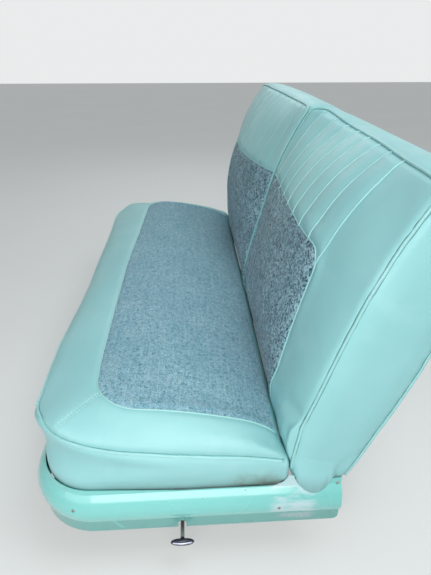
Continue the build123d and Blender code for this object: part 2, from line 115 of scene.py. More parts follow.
# Forward lean of the worn front roll as (x, lean)
FRONT_BULGE = ((0.05, 0.0), (0.16, 0.003), (0.25, 0.0075), (0.31, 0.0105), (0.37, 0.013),
               (0.44, 0.012), (0.52, 0.008), (0.6, 0.0045), (0.65, 0.002), (0.69, 0.0))
REAR_BULGE = 0.0075  # towards the backrests
REAR_CORNER_BULGE = 0.0055  # this much more at the corners
REAR_CORNER_SPREAD = 0.003  # and this far sideways
FOOT_SIDE_X = 0.7078  # foot's outline inside the skirts' rim
FOOT_FRONT_Y = -0.252
FOOT_CORNER_R = 0.1125
# End of the piping that stands out: place, way and steps along it
PIPING_END = (0.567, -0.268, 0.285)
PIPING_END_WAY = (0.15, -0.85, 0.5)
PIPING_END_STEPS = (-0.003, -0.001, 0.001, 0.003, 0.0048)

# Backrest halves, X as a distance from the middle
PLEAT_FROM_X = 0.06
PLEAT_TO_X = 0.55
PLEAT_COUNT = 7
PLEAT_COLUMNS = 12  # of one pleat
PLEAT_PUFF = 0.0055
PLEAT_ROUNDNESS = 2.4
PLEAT_SUNK = 0.0004  # depth of their ends
PLEAT_RISE = 0.0008  # from there to the welts between them
PLEAT_WELT_R = 0.0014
CREST_GAP = 0.004  # from the pleats to the crest's seam
# The right half is fuller and less pleated
PUFF_SHARE = {"left": 1, "right": 0.4}
WELT_SHARE = {"left": 1, "right": 0.6}
FABRIC_FROM_X = 0.004
FABRIC_TUCK = 0.006  # it sinks in less at the split
FABRIC_BOTTOM_Z = 0.225
FABRIC_NOTCH = (0.06, 0.0095, 0.015, 0.078)  # for the hinge arm: place, widths, height
FABRIC_TOP_Z = 0.613  # at the inner edge
FABRIC_DROP = 0.008  # of the top edge at the outer edge
FABRIC_CORNER_R = 0.045
FABRIC_ROWS = 120
PLEAT_LOW_Z = FABRIC_TOP_Z - FABRIC_CORNER_R * 0.25  # the pleats start no higher
OUTER_INSET = 0.0015  # of the seams from the pads' sides
INNER_INSET = 0.0005
INNER_REACH = 0.0032  # of a pad towards the other half
LOBE = 0.004  # of the foot's outer side, outwards
BOARD_SINK = 0.006  # of the rear face, to lie on its board
# Front seams as (y, z) at the inner and outer edge, and as (x, y, z) along the crest
SEAMS = {
    "left": {
        "inner": (
            (0.246, 0.235), (0.24, 0.28), (0.238, 0.322), (0.245, 0.37), (0.264, 0.413),
            (0.296, 0.522), (0.309, 0.592), (0.329, 0.65), (0.35, 0.7), (0.377, 0.751),
            (0.396, 0.785)),
        "outer": (
            (0.252, 0.2), (0.252, 0.235), (0.259, 0.281), (0.268, 0.322), (0.279, 0.361),
            (0.297, 0.428), (0.321, 0.513), (0.346, 0.592), (0.372, 0.659), (0.39, 0.7),
            (0.41, 0.744), (0.424, 0.768)),
        "crest": (
            (0.69, 0.428, 0.774), (0.55, 0.433, 0.775), (0.48, 0.441, 0.776),
            (0.34, 0.455, 0.776), (0.17, 0.453, 0.779), (0.06, 0.448, 0.783), (0.03, 0.43, 0.788),
            (0.008, 0.404, 0.792)),
    },
    "right": {
        "inner": (
            (0.246, 0.235), (0.24, 0.28), (0.238, 0.322), (0.243, 0.37), (0.259, 0.413),
            (0.293, 0.522), (0.308, 0.592), (0.328, 0.65), (0.349, 0.7), (0.376, 0.752),
            (0.395, 0.786)),
        "outer": (
            (0.252, 0.2), (0.247, 0.235), (0.241, 0.281), (0.237, 0.322), (0.235, 0.361),
            (0.237, 0.428), (0.254, 0.513), (0.282, 0.592), (0.302, 0.659), (0.318, 0.7),
            (0.35, 0.758), (0.38, 0.794)),
        "crest": (
            (0.69, 0.386, 0.8), (0.55, 0.387, 0.801), (0.48, 0.388, 0.802), (0.34, 0.394, 0.801),
            (0.17, 0.401, 0.799), (0.06, 0.404, 0.796), (0.03, 0.403, 0.795),
            (0.008, 0.402, 0.794)),
    },
}
# Rear seam and rear face as (y, z)
REAR_CORNER = ((0.372, 0.172), (0.393, 0.223), (0.419, 0.29), (0.463, 0.406), (0.495, 0.52),
               (0.518, 0.64), (0.532, 0.735))
REAR_TOP = (0.534, 0.754)
REAR_TOP_INSET = 0.01
REAR_LINE = ((0.369, 0.165), *REAR_CORNER[1:-1], (0.535, 0.755))
# Front of a backrest's foot as (z, y), where it meets the cushion
FOOT_PROFILE = (
    (0.185, 0.249), (0.2, 0.245), (0.215, 0.2431), (0.23, 0.2387), (0.24, 0.2348), (0.25, 0.2326),
    (0.265, 0.2313), (0.28, 0.2308), (0.3, 0.2325), (0.33, 0.2345))
LEFT_FOOT_BACK = 0.003  # of the left foot towards its outer end
RIGHT_FOOT_BACK = 0.0027  # of the right foot all along
CORNER_FOOT_BACK = 0.0062  # this much more at both outer corners

# Flap over the skirt's scallop
FLAP_FROM_Y = 0.253
FLAP_LENGTH = 0.097
FLAP_TOP_Z = 0.262
FLAP_TOP_DROP = 0.03
FLAP_LOW_Z = 0.186  # lowest place on the cover's side
FLAP_SUNK = 0.0008  # depth of its upper edge
FLAP_LIFT = 0.0015  # of its hem off the skirt
FLAP_GATHER = 0.0016
FLAP_GATHERS = 70  # how close together the gathers lie
FLAP_FRONT_RISE = 0.0012  # of its front edge
FLAP_HEM_IN = 0.003
FLAP_HEM_DOWN = 0.0022
# Its lower edge as (y, z), and the skirt's face as (z, x)
FLAP_EDGE = (
    (0.253, 0.204), (0.262, 0.192), (0.27, 0.174), (0.28, 0.165), (0.292, 0.1595),
    (0.302, 0.1585), (0.312, 0.1602), (0.322, 0.1653), (0.332, 0.173), (0.34, 0.185),
    (0.35, 0.188))
SKIRT_FACE = ((0.15, 0.73), (0.155, 0.7268), (0.16, 0.7232), (0.17, 0.716), (0.196, 0.711))

# Screws through the side skirts as (y, z), and a head's rings as (rise, radius)
SKIRT_SCREWS = ((-0.1777, 0.1433), (0.2295, 0.1294), (0.349, 0.1715))
SCREW_DOME = ((-0.0004, 0.0036), (0.0006, 0.0034), (0.0014, 0.0024), (0.0018, 0.0006))

# Adjuster's grip, a bar with a bright strip that is its painted highlight
GRIP_LENGTH = 0.048
GRIP_LEAN = math.radians(70)
GRIP_TALL = 0.0118  # half its height and depth
GRIP_DEEP = 0.0066
GRIP_END = 0.03  # smallest share of them
STRIP_SHARE = 0.8  # of the grip's length
STRIP_STEPS = 24
STRIP_R = 0.0017
STRIP_UP = 0.55  # share of the grip's height
STRIP_OUT = 0.0058
STRIP_RISE = 0.0012

# Photograph's camera
CAMERA_PLACE = (1.28307, 0.06988, 0.94452)
CAMERA_PITCH_YAW_ROLL = (0.506969, 0.057724, 0.00046985)
CAMERA_FOCUS_PX = 439.094
PHOTO_HEIGHT_PX = 575

# Surroundings
AMBIENT = (0.14, 0.15, 0.158, 1)
BACKDROP = (0.82, 0.84, 0.84, 1)  # where it is seen directly
FLOOR_REACH = 12
FLOOR_GLOW = 0.3  # where it is seen directly


def srgb(red, green, blue):
    """A colour in 0 to 255 display values, as linear RGBA."""
    def linear(value):
        share = value / 255
        return share / 12.92 if share <= 0.04045 else ((share + 0.055) / 1.055) ** 2.4
    return (linear(red), linear(green), linear(blue), 1.0)


class Finish:
    """A Principled material and its nodes, one call at a time."""

    def __init__(self, name, **sockets):
        self.material = bpy.data.materials.new(name)
        self.material.use_nodes = True
        self.tree = self.material.node_tree
        self.shader = self.tree.nodes["Principled BSDF"]
        self.place = self.node("ShaderNodeTexCoord").outputs["Object"]
        for socket, value in sockets.items():
            self.shader.inputs[socket.replace("_", " ")].default_value = value

    def node(self, kind, inputs=None, **settings):
        made = self.tree.nodes.new(kind)
        for key, value in settings.items():
            setattr(made, key, value)
        for key, value in (inputs or {}).items():
            self.feed(made.inputs[key], value)
        return made

    def feed(self, socket, value):
        if isinstance(value, bpy.types.NodeSocket):
            self.tree.links.new(value, socket)
        else:
            socket.default_value = value

    def stretched(self, scale, offset=(0, 0, 0)):
        return self.node("ShaderNodeMapping", {"Vector": self.place, "Scale": scale,
                                               "Location": offset}).outputs["Vector"]

    def noise(self, scale, detail=2.0, roughness=0.5, distortion=0.0, at=None):
        return self.node("ShaderNodeTexNoise", {
            "Vector": at or self.place, "Scale": scale, "Detail": detail,
            "Roughness": roughness, "Distortion": distortion}).outputs["Fac"]

    def cells(self, scale, feature="F1"):
        return self.node("ShaderNodeTexVoronoi", {"Vector": self.place, "Scale": scale},
                         feature=feature).outputs["Distance"]

    def waves(self, scale, direction, distortion):
        return self.node("ShaderNodeTexWave", {
            "Vector": self.place, "Scale": scale, "Distortion": distortion},
            bands_direction=direction).outputs["Fac"]

    def band(self, value, low, high, to_low=0.0, to_high=1.0):
        """Runs smoothly from to_low at low to to_high at high."""
        return self.node("ShaderNodeMapRange", {
            "Value": value, "From Min": low, "From Max": high,
            "To Min": to_low, "To Max": to_high}, interpolation_type="SMOOTHSTEP").outputs["Result"]

    def maths(self, operation, first, second=0.0):
        made = self.node("ShaderNodeMath", operation=operation)
        self.feed(made.inputs[0], first)
        self.feed(made.inputs[1], second)
        return made.outputs[0]

    def product(self, *factors):
        made = factors[0]
        for factor in factors[1:]:
            made = self.maths("MULTIPLY", made, factor)
        return made

    def mixed(self, share, first, second):
        made = self.node("ShaderNodeMix", data_type="RGBA")
        for index, value in ((0, share), (6, first), (7, second)):
            self.feed(made.inputs[index], value)
        return made.outputs[2]

    def axis(self, name):
        return self.node("ShaderNodeSeparateXYZ", {"Vector": self.place}).outputs[name]

    def past(self, name, low, high):
        """Runs from 0 at low to 1 at high along an axis."""
        return self.band(self.axis(name), low, high)

    def within(self, name, low, high, fade):
        """1 from low to high along an axis, fading out around."""
        along = self.axis(name)
        return self.product(self.band(along, low - fade, low), self.band(along, high + fade, high))

    def line(self, field, width):
        """1 along the lines where a noise field crosses its middle."""
        away = self.maths("ABSOLUTE", self.maths("SUBTRACT", field, 0.5))
        return self.band(away, width, width * 0.35)

    def bumps(self, *layers):
        """Adds layers of bump as (height, strength, distance)."""
        normal = None
        for height, strength, distance in layers:
            inputs = {"Height": height, "Strength": strength, "Distance": distance}
            if normal:
                inputs["Normal"] = normal
            normal = self.node("ShaderNodeBump", inputs).outputs["Normal"]
        self.feed(self.shader.inputs["Normal"], normal)

    def colour(self, value):
        self.feed(self.shader.inputs["Base Color"], value)

    def rough(self, value):
        self.feed(self.shader.inputs["Roughness"], value)


DIRT = srgb(122, 118, 84)
# darker grey for the bottom of the vinyl sides
SIDE_GREY = srgb(96, 104, 100)


def vinyl_finish(name, base, shade, light, grain=0.12, soil=False):
    """Grained vinyl with drifting tones and lighter worn patches. Soil adds a stain at the rear of
    the cushion's side and darker grey blotches towards the bottom of the sides."""
    made = Finish(name, Specular_IOR_Level=0.42, Coat_Weight=0.1, Coat_Roughness=0.35,
                  Sheen_Weight=0.04, Sheen_Roughness=0.5)
    tone = made.mixed(made.band(made.noise(2.6, 3.0, 0.55), 0.36, 0.66), shade, base)
    # lighter worn patches of the vinyl: its wear
    wear_and_reflection = made.band(made.noise(9.0, 4.0, 0.6, 0.4), 0.5, 0.74, 0.0, 0.3)
    tone = made.mixed(wear_and_reflection, tone, light)
    if soil:
        spots = made.band(made.noise(34.0, 5.0, 0.7), 0.34, 0.66, 0.25, 1.0)
        rear = made.product(made.within("Y", 0.155, 0.215, 0.036),
                            made.past("Z", 0.222, 0.172),
                            made.past("X", 0.68, 0.695), spots)
        tone = made.mixed(made.product(rear, 0.5), tone, DIRT)
        # darker grey blotches towards the bottom of the sides
        low = made.product(made.past("Z", 0.205, 0.165),
                           made.past("Z", 0.1, 0.14), made.noise(12.0, 4.0, 0.65))
        tone = made.mixed(made.product(low, 0.6), tone, SIDE_GREY)
    made.colour(tone)
    made.rough(made.band(made.noise(14.0, 3.0), 0.3, 0.7, 0.4, 0.52))
    pebbles = made.cells(620.0, feature="SMOOTH_F1")
    creases = made.noise(130.0, 3.0, 0.6)
    made.bumps((creases, 0.14, 0.0006), (pebbles, grain, 0.0004))
    return made.material


def brocade_finish(name, ground, deep, thread, pale, scale, width, streaks=0.0):
    """Pale looped threads that wander over a darker ribbed ground, worn in places."""
    made = Finish(name, Roughness=0.86, Specular_IOR_Level=0.25, Sheen_Weight=0.2,
                  Sheen_Roughness=0.45)
    first = made.line(made.noise(scale, 1.6, 0.5, 1.1), width)
    shifted = made.stretched((1, 1, 1), (3.1, 1.7, 0.4))
    second = made.line(made.noise(scale * 1.35, 1.4, 0.5, 0.9, at=shifted), width * 1.1)
    figure = made.maths("MAXIMUM", first, made.product(second, 0.75))
    hollow = made.band(made.noise(scale * 0.9, 2.0, 0.6), 0.36, 0.56)
    tone = made.mixed(hollow, deep, ground)
    worn = made.band(made.noise(6.0, 4.0, 0.6), 0.3, 0.72, 0.62, 1.0)
    threads = made.mixed(made.noise(scale * 0.35, 2.0), thread, pale)
    tone = made.mixed(made.product(figure, worn), tone, threads)
    if streaks:
        rubs = made.band(made.noise(7.0, 5.0, 0.7, at=made.stretched((1.2, 26, 6))), 0.5, 0.72)
        tone = made.mixed(made.product(rubs, streaks), tone, pale)
    made.colour(tone)
    ribs = made.maths("ADD", made.waves(330.0, "X", 1.5), made.waves(330.0, "DIAGONAL", 1.5))
    made.bumps((figure, 0.6, 0.0012), (ribs, 0.2, 0.0003))
    return made.material


def paint_finish(name, base, light, sky_reflection, dirt_and_shade):
    """Gloss enamel with a painted reflection of the sky at the heel, grime along its foot with
    painted shade on its lower band, a painted highlight along a crease, and chips.
    """
    made = Finish(name, Specular_IOR_Level=0.5, Coat_Weight=0.7, Coat_Roughness=0.08, Coat_IOR=1.5)
    tone = made.mixed(made.band(made.noise(2.0, 1.0), 0.3, 0.75), base, light)
    streaky = made.noise(11.0, 4.0, 0.55, at=made.stretched((1, 0.8, 3.2)))
    edge = made.maths("ADD", streaky, made.product(made.axis("Z"), 1.3))
    # painted reflection: pale blue-white sky on the upper ledge at the heel
    wear_and_reflection = made.product(made.within("Y", 0.228, 0.29, 0.025),
                          made.past("X", 0.6, 0.66), made.band(edge, 0.62, 0.76))
    tone = made.mixed(made.product(wear_and_reflection, 0.75), tone, sky_reflection)
    # painted shade: the lower band below the flute is darker, where it turns from the light
    painted_band_shade = made.product(made.past("Z", 0.112, 0.104), 0.42)
    tone = made.mixed(painted_band_shade, tone, dirt_and_shade)
    low = made.product(made.band(made.noise(26.0, 5.0, 0.6), 0.45, 0.8),
                       made.past("Z", 0.1, 0.076))
    tone = made.mixed(made.product(low, 0.25), tone, dirt_and_shade)
    # painted highlight: a thin lighter line along a crease of the band near the front corner
    lean = made.maths("ADD", made.product(made.axis("Y"), 0.802),
                      made.product(made.axis("Z"), 0.597))
    beside = made.maths("ABSOLUTE", made.maths("ADD", lean, 0.0204))
    crease_highlight = made.product(made.band(beside, 0.0042, 0.0015), made.within("Z", 0.084, 0.118, 0.006),
                        made.past("X", 0.6, 0.66))
    tone = made.mixed(made.product(crease_highlight, 0.55), tone, light)
    chips = made.product(made.band(made.cells(34.0), 0.055, 0.04),
                         made.band(made.noise(5.0, 1.0), 0.58, 0.62))
    made.colour(made.mixed(chips, tone, dirt_and_shade))
    made.rough(made.band(made.noise(5.0, 2.0), 0.35, 0.75, 0.24, 0.34))
    made.bumps((made.noise(200.0, 2.0), 0.03, 0.0003))
    return made.material


def metal_finish(name, base, stain, roughness, metallic=1.0, wear=0.5):
    """Steel, black paint, rubber or plastic with stains and fine scratches."""
    made = Finish(name, Metallic=metallic, Specular_IOR_Level=0.5)
    blotches = made.band(made.noise(22.0, 6.0, 0.65), 0.45, 0.75, 0.0, wear)
    made.colour(made.mixed(blotches, base, stain))
    scratches = made.noise(60.0, 4.0, 0.6, at=made.stretched((1, 12, 12)))
    made.rough(made.band(scratches, 0.3, 0.7, roughness - 0.08, roughness + 0.14))
    made.bumps((made.noise(95.0, 4.0), 0.12, 0.0005), (scratches, 0.08, 0.0003))
    return made.material


VINYL = vinyl_finish("vinyl", srgb(158, 216, 218), srgb(148, 208, 211), srgb(176, 226, 227),
                     soil=True)
PIPING = vinyl_finish("piping_vinyl", srgb(166, 222, 222), srgb(156, 212, 213),
                      srgb(184, 232, 232), 0.05)
WELT = vinyl_finish("welt_vinyl", srgb(186, 232, 232), srgb(174, 222, 222),
                    srgb(202, 240, 240), 0.04)
# painted shade: dark vinyl for the cords that show as shadow lines beside the pipings
SHADE_CORD = vinyl_finish("seam_painted_shade", srgb(98, 152, 152), srgb(88, 140, 140), srgb(112, 166, 166), 0.1)
BOARD = vinyl_finish("board_vinyl", srgb(138, 196, 194), srgb(128, 186, 184),
                     srgb(150, 206, 204), 0.2)
THREAD = vinyl_finish("thread", srgb(200, 236, 236), srgb(188, 226, 226),
                      srgb(210, 242, 242), 0.02)
SEAT_CLOTH = brocade_finish("seat_brocade", srgb(116, 170, 190), srgb(86, 142, 162),
                            srgb(160, 204, 218), srgb(194, 224, 230), 120.0, 0.05, 0.4)
BACK_CLOTH = brocade_finish("back_brocade", srgb(66, 112, 132), srgb(30, 66, 84),
                            srgb(158, 208, 222), srgb(198, 232, 242), 76.0, 0.06)
# its colours: base, light tone, the painted sky reflection, and grime that also gives the painted
# shade of the lower band
PAINT = paint_finish("skirt_enamel", srgb(120, 203, 198), srgb(132, 213, 208), srgb(206, 228, 236),
                     srgb(66, 104, 96))
BLACK = metal_finish("frame_black", srgb(34, 34, 36), srgb(92, 84, 74), 0.46, 0.0, 0.6)
STEEL = metal_finish("worn_steel", srgb(150, 148, 144), srgb(96, 76, 58), 0.42, 0.85, 0.6)
RUBBER = metal_finish("rubber", srgb(30, 30, 31), srgb(64, 62, 58), 0.72, 0.0, 0.5)
# painted highlight: a pale strip along the glossy grip
GRIP_HIGHLIGHT = metal_finish("grip_painted_highlight", srgb(205, 206, 226), srgb(150, 152, 170), 0.2, 0.6, 0.3)
GRIP = metal_finish("grip_plastic", srgb(24, 28, 48), srgb(46, 50, 66), 0.16, 0.0, 0.3)


def linked(name, data):
    made = bpy.data.objects.new(name, data)
    scene.collection.objects.link(made)
    return made


def new_object(name, mesh, material):
    made = linked(name, mesh)
    made.data.materials.clear()
    made.data.materials.append(material)
    return made


def mesh_piece(name, points, faces, material):
    """A smooth-shaded mesh object from points and faces."""
    mesh = bpy.data.meshes.new(name)
    mesh.from_pydata([tuple(p) for p in points], [], faces)
    mesh.shade_smooth()
    mesh.update()
    return new_object(name, mesh, material)


def settle(obj):
    """Gives the object the mesh that its modifiers make."""
    made = bpy.data.meshes.new_from_object(
        obj.evaluated_get(bpy.context.evaluated_depsgraph_get()))
    obj.modifiers.clear()
    obj.data = made
    made.shade_smooth()


def joined(name, parts, body):
    """Joins pieces into one that rides on a body."""
    points, faces, material = [], [], parts[0].data.materials[0]
    for part in parts:
        start = len(points)
        points += [v.co.copy() for v in part.data.vertices]
        faces += [[start + i for i in p.vertices] for p in part.data.polygons]
        bpy.data.objects.remove(part)
    worn_by(mesh_piece(name, points, faces, material), body)


def worn_by(piece, body):
    """The piece rides on a body."""
    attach(piece, body)


def spots_of(obj, kind="co"):
    """The places of an object's points, or their normals."""
    flat = np.empty(len(obj.data.vertices) * 3, np.float32)
    obj.data.vertices.foreach_get(kind, flat)
    return flat.reshape(-1, 3).astype(float)


def place(obj, points):
    obj.data.vertices.foreach_set("co", np.asarray(points, np.float32).ravel())
    obj.data.update()


def skin_of(obj):
    return BVHTree.FromPolygons([v.co for v in obj.data.vertices],
                                [p.vertices for p in obj.data.polygons])


def ramp(values, low, high):
    """0 at low to 1 at high, smoothly."""
    share = np.clip((values - low) / (high - low), 0, 1)
    return share * share * (3 - 2 * share)


def smooth_path(points, step=PATH_STEP, rounds=3):
    """A smooth line through or near the points, at even steps."""
    dense = [Vector(p) for p in points]
    for _ in range(rounds):
        cut = [dense[0]]
        for first, second in zip(dense, dense[1:]):
            cut += [first.lerp(second, 0.25), first.lerp(second, 0.75)]
        dense = cut + [dense[-1]]
    lengths = [0.0]
    for first, second in zip(dense, dense[1:]):
        lengths.append(lengths[-1] + (second - first).length)
    count = max(int(lengths[-1] / step), 2)
    spots = np.linspace(0, lengths[-1], count + 1)
    columns = np.array(dense)
    return [Vector(p) for p in np.stack([np.interp(spots, lengths, columns[:, i])
                                         for i in range(3)], 1)]


def relaxed(spots, rounds):
    """The points drawn towards their neighbours, apart from the ends."""
    for _ in range(rounds):
        between = [(a + b * 2 + c) / 4 for a, b, c in zip(spots, spots[1:], spots[2:])]
        spots = [spots[0], *between, spots[-1]]
    return spots


def laid(path, skin, lift, rounds=6):
    """The path's points on the skin, lifted off it and smoothed."""
    spots, outward, _, _ = zip(*[skin.find_nearest(point) for point in path])
    return [spot + normal.normalized() * lift
            for spot, normal in zip(relaxed(spots, rounds), relaxed(outward, rounds))]


def quads(rows, across, closed):
    """Faces between rows of points. Closed rows end where they start."""
    faces = []
    for r in range(rows - 1):
        for c in range(across if closed else across - 1):
            n = (c + 1) % across
            faces.append([r * across + c, r * across + n, (r + 1) * across + n,
                          (r + 1) * across + c])
    return faces


def ring(spot, side, other, radius, sides):
    """Points round a spot."""
    turns = [2 * math.pi * k / sides for k in range(sides)]
    return [spot + (side * math.cos(turn) + other * math.sin(turn)) * radius for turn in turns]


def ringed(name, rings, material):
    """A mesh through rings of points, closed at both ends."""
    sides = len(rings[0])
    points = [p for circle in rings for p in circle]
    ends = [list(range(sides))[::-1], list(range(len(points) - sides, len(points)))]
    return mesh_piece(name, points, quads(len(rings), sides, True) + ends, material)


def tube(name, path, radius, material, sides=10):
    """A round cord along a path, closed at both ends."""
    rings = []
    side = UP
    last = len(path) - 1
    for i, spot in enumerate(path):
        along = (path[min(i + 1, last)] - path[max(i - 1, 0)]).normalized()
        if abs(side.dot(along)) < 0.99:
            side = (side - along * side.dot(along)).normalized()
        else:
            side = along.orthogonal().normalized()
        rings.append(ring(spot, side, along.cross(side), radius, sides))
    return ringed(name, rings, material)


def sheet_lift(edge):
    """A sheet's height over the cover at a distance from its edge."""
    return -SHEET_SUNK + SHEET_RISE * min(max(edge, 0) / SHEET_FADE, 1) ** 0.6


def corner_fall(into, radius):
    """How far a rounded corner has turned away at a share of its way round."""
    return radius * (1 - math.sqrt(max(0.0, 1 - into * into))) if into > 0 else 0


def corner_places(flat, radius, count):
    """Places along a rounded corner, closer together towards its end."""
    return [flat + radius * math.sin(math.pi / 2 * i / count) for i in range(1, count + 1)]


def brocade_sheet(name, body, columns, count, look, material):
    """A sheet over the spots, normals and distances from its edge that look finds."""
    rows = []
    for r in range(count + 1):
        found = [look(x, r) for x in columns]
        rows.append([spot + normal * sheet_lift(edge) for spot, normal, edge in found])
    worn_by(grid_piece(name, rows, material), body)


def grid_piece(name, rows, material):
    """A sheet of quads from rows of points."""
    faces = quads(len(rows), len(rows[0]), False)
    return mesh_piece(name, [p for row in rows for p in row], faces, material)


def distances(points, path):
    """How far each point is from the nearest point of a path."""
    tree = KDTree(len(path))
    for i, spot in enumerate(path):
        tree.insert(spot, i)
    tree.balance()
    return np.array([tree.find(p)[2] for p in points])


def swollen(name, node, seams, hold, shape, material):
    """A cover over padding: the CAD solid in even quads, a little smaller between its seams, then
    blown up by cloth simulation. Hold gives each point's share of staying where it is, and shape
    moves the points where padding settles against its neighbours."""
    obj = new_object(name, nodes[node].data.copy(), material)
    remesh = obj.modifiers.new("Remesh", "REMESH")
    remesh.mode = "VOXEL"
    remesh.voxel_size = VOXEL
    settle(obj)
    soften = obj.modifiers.new("Smooth", "SMOOTH")
    soften.factor = 0.5
    soften.iterations = 6
    settle(obj)
    place(obj, shape(spots_of(obj), spots_of(obj, "normal")))
    start = spots_of(obj)
    near = distances(start, [p for path in seams for p in path])
    free = np.clip((near - SEAM_PIN) / SEAM_FADE, 0, 1) * (1 - hold(start))
    start = start - spots_of(obj, "normal") * (SHRINK * free)[:, None]
    place(obj, start)
    group = obj.vertex_groups.new(name="held")
    group.add([int(i) for i in np.flatnonzero(free < HELD_BELOW)], 1.0, "REPLACE")
    cloth = obj.modifiers.new("Cloth", "CLOTH")
    for key, value in CLOTH.items():
        setattr(cloth.settings, key, value)
    cloth.settings.effector_weights.gravity = 0
    cloth.point_cache.frame_start = 1
    cloth.point_cache.frame_end = CLOTH_FRAMES
    for step in range(1, CLOTH_FRAMES + 1):
        scene.frame_set(step)
    settle(obj)
    moved = spots_of(obj) - start
    length = np.linalg.norm(moved, axis=1, keepdims=True)
    place(obj, start + moved * np.minimum(1, SWELL_CAP / np.maximum(length, 1e-9)))
    scene.frame_set(1)
    rise = np.array([noise.noise(spot) + 0.5 * noise.noise(spot * 2.3)
                     for spot in (Vector(p) * RIPPLE_SCALE for p in spots_of(obj))])
    place(obj, spots_of(obj) + spots_of(obj, "normal") * (RIPPLE * rise * free)[:, None])
    finer = obj.modifiers.new("Subdivision", "SUBSURF")
    finer.levels = finer.render_levels = 1
    settle(obj)
    obj.vertex_groups.clear()
    return obj


def pinched(obj, path, depth, width):
    """Draws the cover in along a seam."""
    points = spots_of(obj)
    share = np.exp(-(distances(points, path) / width) ** 2)
    place(obj, points - spots_of(obj, "normal") * (depth * share)[:, None])


def stitches(path, skin, pitch=0.0065, length=0.0046, radius=0.0009):
    """Short threads lying on the cover along a path."""
    parts = []
    run = smooth_path(path, pitch, 1)
    for first, second in zip(run, run[1:]):
        along = (second - first).normalized()
        middle = (first + second) / 2
        ends = [middle + along * length * share for share in (-0.5, 0, 0.5)]
        parts.append(tube("stitch", laid(ends, skin, radius * 0.7, 0), radius, THREAD, sides=6))
    return parts


def dropped(skin, point, direction):
    """Where a ray meets the skin, or else the nearest place, with the normal there."""
    spot, normal, _, _ = skin.ray_cast(point, direction)
    if spot is None:
        reach = point.z - CUSHION_Z if direction.z else BACKREST_REACH
        spot, normal, _, _ = skin.find_nearest(point + direction * reach)
    return spot, normal


# Camera, light and floor
def aim_camera():
    pitch, yaw, roll = CAMERA_PITCH_YAW_ROLL
    ahead = Vector((-math.cos(yaw) * math.cos(pitch), math.sin(yaw) * math.cos(pitch),
                    -math.sin(pitch)))
    right = Vector((math.sin(yaw), math.cos(yaw), 0))
    above = right.cross(ahead)
    turned = right * math.cos(roll) + above * math.sin(roll)
    raised = above * math.cos(roll) - right * math.sin(roll)
    lens = bpy.data.cameras.new("camera")
    lens.lens = lens.sensor_width * CAMERA_FOCUS_PX / PHOTO_HEIGHT_PX
    camera = linked("camera", lens)
    camera.matrix_world = Matrix((turned, raised, -ahead)).transposed().to_4x4()
    camera.location = CAMERA_PLACE
    scene.camera = camera


def add_lamp(name, spot, target, size, watts, colour):
    lamp = bpy.data.lights.new(name, "AREA")
    lamp.shape = "SQUARE"
    lamp.size = size
    lamp.energy = watts
    lamp.color = colour
    made = linked(name, lamp)
    made.visible_camera = False
    made.location = spot
    made.rotation_mode = "QUATERNION"
    made.rotation_quaternion = (Vector(target) - Vector(spot)).to_track_quat("-Z", "Y")


def seen_directly(tree):
    """1 for rays from the camera, a gloss or a glass."""
    path = tree.nodes.new("ShaderNodeLightPath")
    seen = path.outputs["Is Camera Ray"]
    for ray in ("Is Glossy Ray", "Is Transmission Ray"):
        both = tree.nodes.new("ShaderNodeMath")
        both.operation = "MAXIMUM"
        tree.links.new(seen, both.inputs[0])
        tree.links.new(path.outputs[ray], both.inputs[1])
        seen = both.outputs[0]
    return seen


def light_stage():
    add_lamp("door_light", (1.9, 0.0, 1.1), (0.5, 0.1, 0.35), 1.1, 18.5, (1.0, 0.995, 0.985))
    add_lamp("front_light", (1.7, -1.0, 1.0), (0.5, 0.15, 0.45), 1.0, 5, (0.98, 0.99, 1.0))
    add_lamp("roof_light", (0.3, 1.0, 2.6), (0.2, 0.1, 0.3), 1.6, 25, (0.97, 0.99, 1.0))
    add_lamp("far_light", (-2.1, 0.2, 1.9), (-0.2, 0, 0.3), 1.6, 8, (0.94, 0.98, 1.0))
    add_lamp("back_light", (0.2, 3.0, 1.8), (0, 0.3, 0.4), 2.2, 10, (0.97, 0.99, 1.0))
    world = bpy.data.worlds.new("world")
    scene.world = world
    world.use_nodes = True
    tree = world.node_tree
    shade = tree.nodes.new("ShaderNodeMix")
    shade.data_type = "RGBA"
    tree.links.new(seen_directly(tree), shade.inputs[0])
    shade.inputs[6].default_value = AMBIENT
    shade.inputs[7].default_value = BACKDROP
    tree.links.new(shade.outputs[2], tree.nodes["Background"].inputs["Color"])
    made = Finish("floor", Roughness=0.85, Specular_IOR_Level=0.2)
    made.colour(made.mixed(made.noise(1.5, 3.0), (0.5, 0.51, 0.5, 1), (0.55, 0.56, 0.55, 1)))
    made.feed(made.shader.inputs["Emission Strength"],
              made.product(seen_directly(made.tree), FLOOR_GLOW))
    made.shader.inputs["Emission Color"].default_value = (0.96, 1, 1, 1)
    corners = [(x * FLOOR_REACH, y * FLOOR_REACH, 0)
               for x, y in ((-1, -1), (1, -1), (1, 1), (-1, 1))]
    mesh_piece("floor", corners, [[0, 1, 2, 3]], made.material)


scene.view_settings.view_transform = "Standard"
aim_camera()
light_stage()


# Cushion
def cushion_outline():
    """The boxing's top seam, from one rear corner round the front to the other."""
    other_side = [(-x, y, z) for x, y, z in reversed(BOXING_EDGE)]
    return [p - BACK * float(front_bulge(np.array([p]))[0])
            for p in smooth_path([*BOXING_EDGE, *other_side])]


def front_bulge(points):
    """How far the worn front roll leans forward at each point."""
    roll = (1 - ramp(points[:, 1], -0.262, -0.17)) * ramp(points[:, 2], 0.205, 0.262)
    return np.interp(points[:, 0], *zip(*FRONT_BULGE)) * roll


